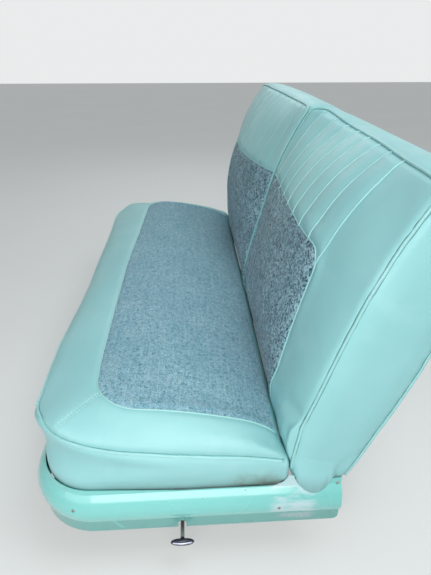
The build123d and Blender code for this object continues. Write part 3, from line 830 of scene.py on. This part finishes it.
def insert_front(x):
    """Where the insert's front seam lies at x, with the rounded corners."""
    into = (abs(x) - (INSERT_SIDE_X - INSERT_CORNER_R)) / INSERT_CORNER_R
    return float(np.interp(x, *zip(*INSERT_FRONT))) + corner_fall(into, INSERT_CORNER_R)


def insert_columns():
    """Places across the insert, closer together round its corners."""
    flat = INSERT_SIDE_X - INSERT_CORNER_R
    corner = corner_places(flat, INSERT_CORNER_R, count=14)
    return [-x for x in reversed(corner)] + list(np.linspace(-flat, flat, num=190)) + corner


def insert_outline():
    """The insert's seam in plan, from one rear corner round the front to the other."""
    side = [(INSERT_SIDE_X, y, OVER_Z) for y in (INSERT_REAR_Y, 0.14, 0.04, -0.04)]
    front = [(x, insert_front(x), OVER_Z) for x in reversed(insert_columns())]
    return side + front + [(-x, y, z) for x, y, z in reversed(side)]


def round_box(points, half_width, front, corner_r):
    """Distance in plan from a rounded box open to the rear, and the way out of it."""
    across = np.abs(points[:, 0]) - (half_width - corner_r)
    ahead = (front + corner_r) - points[:, 1]
    a, b = np.maximum(across, 0), np.maximum(ahead, 0)
    length = np.maximum(np.hypot(a, b), 1e-9)
    way = np.stack([np.sign(points[:, 0]) * a / length, -b / length, np.zeros(len(points))], 1)
    return length - corner_r, way


def shape_cushion(points, ways):
    """The foot fills the skirts' rim, the rear bulges towards the backrests, and the worn front
    roll leans forward."""
    upright = 1 - ramp(np.abs(ways[:, 2]), 0.5, 0.8)
    height = points[:, 2]
    away, way = round_box(points, FOOT_SIDE_X, FOOT_FRONT_Y, FOOT_CORNER_R)
    foot = ramp(height, 0.15, 0.166) * (1 - ramp(height, 0.19, 0.24)) * upright
    foot = foot * (away > -0.03) * (points[:, 1] < 0.2)
    points = points - way * (away * foot)[:, None]
    rear = (ramp(points[:, 1], 0.19, 0.232) * ramp(height, 0.15, 0.18)
            * (1 - ramp(height, 0.26, 0.29)))
    corner = ramp(np.abs(points[:, 0]), 0.65, 0.69)
    points[:, 1] += (REAR_BULGE + REAR_CORNER_BULGE * corner) * rear
    side = np.sign(points[:, 0]) * (np.abs(points[:, 0]) > 0.68)
    points[:, 0] += REAR_CORNER_SPREAD * rear * side
    points[:, 1] -= front_bulge(points)
    return points


def hold_cushion(points):
    """The foot and the rear stay where they are."""
    return np.maximum(1 - ramp(points[:, 2], 0.195, 0.235), ramp(points[:, 1], 0.215, 0.232))


def mitre_line(skin, side, shift):
    """A mitre seam on the cushion's skin, shifted sideways."""
    across_x, across_y = MITRE_ACROSS
    path = smooth_path([(x + shift * across_x, y + shift * across_y, 0) for x, y in MITRE],
                       step=0.003)
    return [dropped(skin, Vector((side * p.x, p.y, OVER_Z)), -UP)[0] for p in path]


def build_cushion():
    cad = skin_of(nodes["seat_cushion"])
    outline = cushion_outline()
    seam = [dropped(cad, p, -UP)[0] for p in smooth_path(insert_outline(), rounds=1)]
    cover = swollen("cushion_cover", "seat_cushion", [outline, seam], hold_cushion,
                    shape_cushion, VINYL)
    skin = skin_of(cover)
    outline, seam = laid(outline, skin, 0), laid(seam, skin, 0, 2)
    mitres = [mitre_line(skin, side, 0) for side in (1, -1)]
    pinched(cover, outline, *OUTLINE_PINCH)
    pinched(cover, seam, *SMALL_PINCH)
    for mitre in mitres:
        pinched(cover, mitre, *MITRE_PINCH)
    skin = skin_of(cover)
    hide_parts("seat_cushion")
    worn_by(cover, "seat")

    def look(x, row):
        front = insert_front(x)
        y = front + (INSERT_REAR_Y - front) * row / INSERT_ROWS
        edge = min(INSERT_SIDE_X - abs(x), y - front)
        return *dropped(skin, Vector((x, y, OVER_Z)), -UP), edge

    brocade_sheet("cushion_insert", "seat", insert_columns(), INSERT_ROWS, look, SEAT_CLOTH)
    # painted shade: a dark cord sunk under the piping
    shade_path = laid(outline, skin, -SHADE_CORD_SUNK)
    worn_by(tube("cushion_shade_cord", shade_path, SHADE_CORD_R, SHADE_CORD), "seat")
    outline = laid(outline, skin, PIPING_LIFT)
    worn_by(tube("cushion_piping", outline, PIPING_R, PIPING), "seat")
    nearest = min(outline, key=lambda p: (p - Vector(PIPING_END)).length)
    way = Vector(PIPING_END_WAY).normalized()
    end = [nearest + way * step for step in PIPING_END_STEPS]
    worn_by(tube("piping_end", end, PIPING_R, PIPING, sides=8), "seat")
    welt = laid(seam, skin, WELT_R, 2)
    worn_by(tube("cushion_welt", welt, WELT_R, WELT, sides=8), "seat")

    threads = []
    for side in (1, -1):
        for shift in MITRE_STITCHES:
            threads += stitches(mitre_line(skin, side, shift), skin)
    joined("mitre_stitches", threads, "seat")


# Backrest halves
class Half:
    """One backrest half and the lines of its covers."""

    def __init__(self, side):
        self.sign = 1 if side == "left" else -1
        self.node = f"backrest_pad_{side}"
        self.body = f"backrest_{side}"
        self.seams = SEAMS[side]
        self.puff = PLEAT_PUFF * PUFF_SHARE[side]
        self.welt_r = PLEAT_WELT_R * WELT_SHARE[side]
        self.welt_finish = WELT if side == "left" else PIPING
        self.cad = skin_of(nodes[self.node])
        inner, outer = sorted(abs(corner.x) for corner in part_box(self.node))
        self.outer, self.inner = outer - OUTER_INSET, inner + INNER_INSET

    def at(self, x, y, z):
        return Vector((self.sign * x, y, z))

    def front(self, skin, x, z):
        """The skin's point and normal seen from ahead at x and z."""
        return dropped(skin, self.at(x, AHEAD_Y, z), BACK)

    def crest(self, x):
        """The crest seam's place at x."""
        xs, ys, zs = zip(*reversed(self.seams["crest"]))
        return self.at(x, float(np.interp(x, xs, ys)), float(np.interp(x, xs, zs)))

    def front_edge(self):
        """The front seam: up the outer edge, along the crest and down the split."""
        path = [self.at(self.outer, y, z) for y, z in self.seams["outer"]]
        path += [self.at(x, y, z) for x, y, z in self.seams["crest"]]
        path += [self.at(self.inner, y, z) for y, z in reversed(self.seams["inner"])]
        return laid(smooth_path(path, rounds=2), self.cad, 0, 1)

    def rear_edge(self):
        """The rear seam: up the outer edge, across under the top and down the split."""
        y, z = REAR_TOP
        path = [self.at(self.outer, *spot) for spot in REAR_CORNER]
        path += [self.at(self.outer - REAR_TOP_INSET, y, z),
                 self.at(self.inner + REAR_TOP_INSET, y, z)]
        path += [self.at(self.inner, *spot) for spot in reversed(REAR_CORNER)]
        return laid(smooth_path(path, rounds=2), self.cad, 0, 1)

    def fabric_top(self, x):
        """The height of the cloth's top edge at x, with the rounded corner."""
        into = (x - (PLEAT_TO_X - FABRIC_CORNER_R)) / FABRIC_CORNER_R
        return FABRIC_TOP_Z - FABRIC_DROP * x / PLEAT_TO_X - corner_fall(into, FABRIC_CORNER_R)

    def fabric_foot(self, x):
        """The height of the cloth's lower edge at x, cut out round the hinge arm."""
        middle, narrow, wide, rise = FABRIC_NOTCH
        return FABRIC_BOTTOM_Z + rise * float(1 - ramp(abs(x - middle), narrow, wide))

    def fabric_columns(self):
        """Places across the cloth, closer together round its corner."""
        flat = PLEAT_TO_X - FABRIC_CORNER_R
        return (list(np.linspace(FABRIC_FROM_X, flat, num=92))
                + corner_places(flat, FABRIC_CORNER_R, count=12))

    def fabric_seam(self, skin):
        """The cloth's edge: from the split along its top, round the corner and down."""
        spots = [(x, 0, self.fabric_top(x)) for x in self.fabric_columns()]
        high, steps = spots[-1][2], 10
        spots += [(PLEAT_TO_X, 0, high - (high - FABRIC_BOTTOM_Z) * i / steps)
                  for i in range(1, steps + 1)]
        return [self.front(skin, p.x, p.z)[0] for p in smooth_path(spots, rounds=1)]

    def pleat_x(self, index):
        return PLEAT_FROM_X + (PLEAT_TO_X - PLEAT_FROM_X) * index / PLEAT_COUNT

    def rise(self, skin, x, count):
        """Points and normals up the front at x, from the cloth's top to the crest."""
        start = self.fabric_top(x)
        if x < PLEAT_TO_X:
            start = min(start, PLEAT_LOW_Z)
        low, high = self.front(skin, x, start)[0], self.crest(x)
        along = (high - low).normalized()
        inward = Vector((0, along.z, -along.y))
        path = [low.lerp(high - along * CREST_GAP, i / count) for i in range(count + 1)]
        return [dropped(skin, spot - inward * RISE_REACH, inward) for spot in path]


def rear_face(points):
    """The Y of a backrest's rear face at each point's height."""
    return np.interp(points[:, 2], *zip(*[(z, y) for y, z in REAR_LINE]))


def shape_half(half):
    def shape(points, ways):
        """The inner side meets the other half, the rear face lies on its board, and the foot
        fills its place outwards and meets the cushion ahead."""
        across = points[:, 0] * half.sign
        outward = ways[:, 0] * half.sign
        height = points[:, 2]
        across = across - INNER_REACH * ramp(-outward, 0.5, 0.9) * ramp(height, 0.24, 0.3)
        across = across + LOBE * (ramp(across, 0.66, 0.7) * (1 - ramp(height, 0.18, 0.3)))
        points[:, 0] = across * half.sign
        ahead = (ramp(-ways[:, 1], 0.2, 0.7) * ramp(height, 0.185, 0.2)
                 * (1 - ramp(height, 0.295, 0.335)))
        on_board = (ramp(points[:, 1] - rear_face(points), -0.022, -0.008)
                    * ramp(height, 0.176, 0.184) * (1 - ramp(height, 0.738, 0.746))
                    * ramp(across, 0.014, 0.022) * (1 - ramp(across, 0.686, 0.694)))
        points[:, 1] -= BOARD_SINK * on_board
        foot = np.interp(height, *zip(*FOOT_PROFILE))
        foot = foot + (LEFT_FOOT_BACK * ramp(across, 0.62, 0.66) if half.sign > 0
                       else RIGHT_FOOT_BACK)
        foot = foot + CORNER_FOOT_BACK * ramp(across, 0.662, 0.686)
        points[:, 1] += np.minimum(foot - points[:, 1], 0) * ahead
        return points
    return shape


def build_half(side):
    half = Half(side)
    front_edge, rear_edge = half.front_edge(), half.rear_edge()
    fabric_seam = half.fabric_seam(half.cad)

    def hold(points):
        """The rear face, the foot and the inner side stay where they are."""
        return np.maximum.reduce([ramp(points[:, 1] - rear_face(points), -0.03, -0.015),
                                  1 - ramp(points[:, 2], 0.17, 0.2),
                                  1 - ramp(np.abs(points[:, 0]), 0.004, 0.012)])

    cover = swollen(f"{half.body}_cover", half.node, [front_edge, rear_edge, fabric_seam], hold,
                    shape_half(half), VINYL)
    skin = skin_of(cover)
    front_edge, rear_edge = laid(front_edge, skin, 0), laid(rear_edge, skin, 0)
    fabric_seam = half.fabric_seam(skin)
    pinched(cover, front_edge, *FRONT_PINCH)
    pinched(cover, rear_edge, *SMALL_PINCH)
    pinched(cover, fabric_seam, *SMALL_PINCH)
    skin = skin_of(cover)
    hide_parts(half.node)
    worn_by(cover, half.body)

    insert_piece(half, skin)
    pleats_piece(half, skin)
    lines = []
    for i in range(PLEAT_COUNT + 1):
        path = [spot for spot, _ in half.rise(skin, half.pleat_x(i), count=48)]
        path = laid(path, skin, half.welt_r * 1.1, 2)
        lines.append(tube("line", path, half.welt_r, half.welt_finish, sides=8))
    lines.append(tube("edge", laid(fabric_seam, skin, WELT_R, 2), WELT_R, WELT, sides=8))
    joined(f"{half.body}_welts", lines, half.body)
    # the seam cords are dark vinyl: painted shade beside the pipings
    for kind, lift, radius, finish in (("seam", -SHADE_CORD_SUNK, SHADE_CORD_R, SHADE_CORD),
                                       ("piping", PIPING_LIFT, PIPING_R, PIPING)):
        cords = [tube(kind, laid(edge, skin, lift), radius, finish)
                 for edge in (front_edge, rear_edge)]
        joined(f"{half.body}_{kind}", cords, half.body)
    flap_piece(half, skin)


def insert_piece(half, skin):
    """The brocade on a backrest's lower front."""
    def look(x, row):
        top, low = half.fabric_top(x), half.fabric_foot(x)
        z = low + (top - low) * row / FABRIC_ROWS
        edge = min(PLEAT_TO_X - x, top - z, x - FABRIC_FROM_X + FABRIC_TUCK)
        return *half.front(skin, x, z), edge

    brocade_sheet(f"{half.body}_insert", half.body, half.fabric_columns(), FABRIC_ROWS, look,
                  BACK_CLOTH)


def pleats_piece(half, skin):
    """The puffed pleats from the cloth's top edge to the crest."""
    columns = []
    up, low_end, high_end = 64, 9, 5
    for c in range(PLEAT_COUNT * PLEAT_COLUMNS + 1):
        pleats = c / PLEAT_COLUMNS
        swell = half.puff * (1 - abs(2 * (pleats % 1) - 1) ** PLEAT_ROUNDNESS)
        column = []
        for r, (spot, normal) in enumerate(half.rise(skin, half.pleat_x(pleats), up)):
            end = ramp(min(r / low_end, (up - r) / high_end), 0, 1)
            column.append(spot + normal * (-PLEAT_SUNK + (PLEAT_RISE + swell) * end))
        columns.append(column)
    worn_by(grid_piece(f"{half.body}_pleats", list(zip(*columns)), VINYL), half.body)


def flap_piece(half, skin):
    """The cover's foot, gathered and drawn out over the skirt's scallop."""
    rows = []
    down, under, across = 22, 4, 72
    for r in range(down + under + 1):
        share = min(r / down, 1)
        row = []
        for c in range(across + 1):
            along = c / across
            y = FLAP_FROM_Y + FLAP_LENGTH * along
            edge = float(np.interp(y, *zip(*FLAP_EDGE)))
            high = FLAP_TOP_Z - FLAP_TOP_DROP * along
            z = high + (edge - high) * share
            spot, _ = dropped(skin, half.at(1, y, max(z, FLAP_LOW_Z)), half.at(-1, 0, 0))
            sunk = abs(spot.x) - FLAP_SUNK
            hem = float(np.interp(edge, *zip(*SKIRT_FACE))) + FLAP_LIFT
            draw = float(ramp(share, 0.12, 1.0) * ramp(along, 0, 0.2)
                         * (1 - ramp(along, 0.82, 1.0)))
            uneven = noise.noise(Vector((y * FLAP_GATHERS + share * 2, 1.1, 0.3)))
            gather = FLAP_GATHER * ramp(share, 0.5, 0.95) * uneven
            front = FLAP_FRONT_RISE * ramp(share, 0.02, 0.3) * ramp(along, 0, 0.1)
            x = sunk + (hem - sunk + gather) * draw + front
            if r > down:
                turn = math.pi * (r - down) / under
                x -= FLAP_HEM_IN * (1 - math.cos(turn)) * draw
                z -= FLAP_HEM_DOWN * math.sin(turn)
            row.append(half.at(x, y, z))
        rows.append(row)
    worn_by(grid_piece(f"{half.body}_flap", rows, VINYL), half.body)


# Screws through the side skirts
def build_screws():
    for side, name in ((1, "left"), (-1, "right")):
        skin = skin_of(nodes[f"side_skirt_{name}"])
        heads = []
        for y, z in SKIRT_SCREWS:
            spot, normal = dropped(skin, Vector((side, y, z)), Vector((-side, 0, 0)))
            heads.append(screw_head(spot, normal))
        joined(f"skirt_screws_{name}", heads, "seat")


def screw_head(spot, normal):
    """A low dome of rings."""
    centres = [spot + normal * rise for rise, _ in SCREW_DOME]
    up = (centres[-1] - centres[0]).normalized()
    side = up.orthogonal().normalized()
    rings = [ring(centre, side, up.cross(side), radius, sides=16)
             for centre, (_, radius) in zip(centres, SCREW_DOME)]
    return ringed("head", rings, STEEL)


# Adjuster's grip, flat in section and tapered to both ends
def grip_body(share):
    """The grip's size at a share of its half length."""
    return (1 - abs(share) ** 2.6) ** 0.5 if abs(share) < 1 else 0.0


def grip_taper(share):
    """How much more its height shrinks there."""
    return 1 - 0.25 * abs(share)


def build_grip():
    low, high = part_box("adjuster_grip")
    centre = (low + high) / 2
    up, out = math.sin(GRIP_LEAN), math.cos(GRIP_LEAN)
    rings, sides = 28, 20
    points = []
    for r in range(rings + 1):
        share = 2 * r / rings - 1
        body = max(grip_body(share), GRIP_END)
        tall, deep = GRIP_TALL * body * grip_taper(share), GRIP_DEEP * body
        for k in range(sides):
            turn = 2 * math.pi * k / sides
            u, v = deep * math.cos(turn), tall * math.sin(turn)
            points.append(centre + Vector((u * up + v * out, share * GRIP_LENGTH / 2,
                                           v * up - u * out)))
    faces = [[a, d, c, b] for a, b, c, d in quads(rings + 1, sides, True)]
    faces += [list(range(sides)), [rings * sides + k for k in reversed(range(sides))]]
    grip = mesh_piece("grip_bar", points, faces, GRIP)
    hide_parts("adjuster_grip")
    worn_by(grip, "seat")
    # painted highlight: a pale strip along the grip's top
    strip = []
    for r in range(STRIP_STEPS + 1):
        share = (2 * r / STRIP_STEPS - 1) * STRIP_SHARE
        body = grip_body(share) * grip_taper(share)
        reach = GRIP_TALL * body
        strip.append(centre + Vector((reach * out * STRIP_UP + STRIP_OUT * body,
                                      share * GRIP_LENGTH / 2,
                                      reach * up * STRIP_UP + STRIP_RISE)))
    worn_by(tube("grip_highlight_strip", strip, STRIP_R, GRIP_HIGHLIGHT, sides=8), "seat")


# Finishes of the CAD nodes, by their record slot
SLOT_FINISH = {"seat_vinyl": VINYL, "back_board": BOARD, "skirt_paint": PAINT, "frame_paint": BLACK,
               "bare_steel": STEEL, "stop_rubber": RUBBER, "grip_plastic": GRIP}


for row in frame["record"]["subparts"]:
    nodes[row["node"]].data.materials.clear()
    nodes[row["node"]].data.materials.append(SLOT_FINISH[row["material_slot"]])

build_cushion()
build_half("left")
build_half("right")
build_screws()
build_grip()
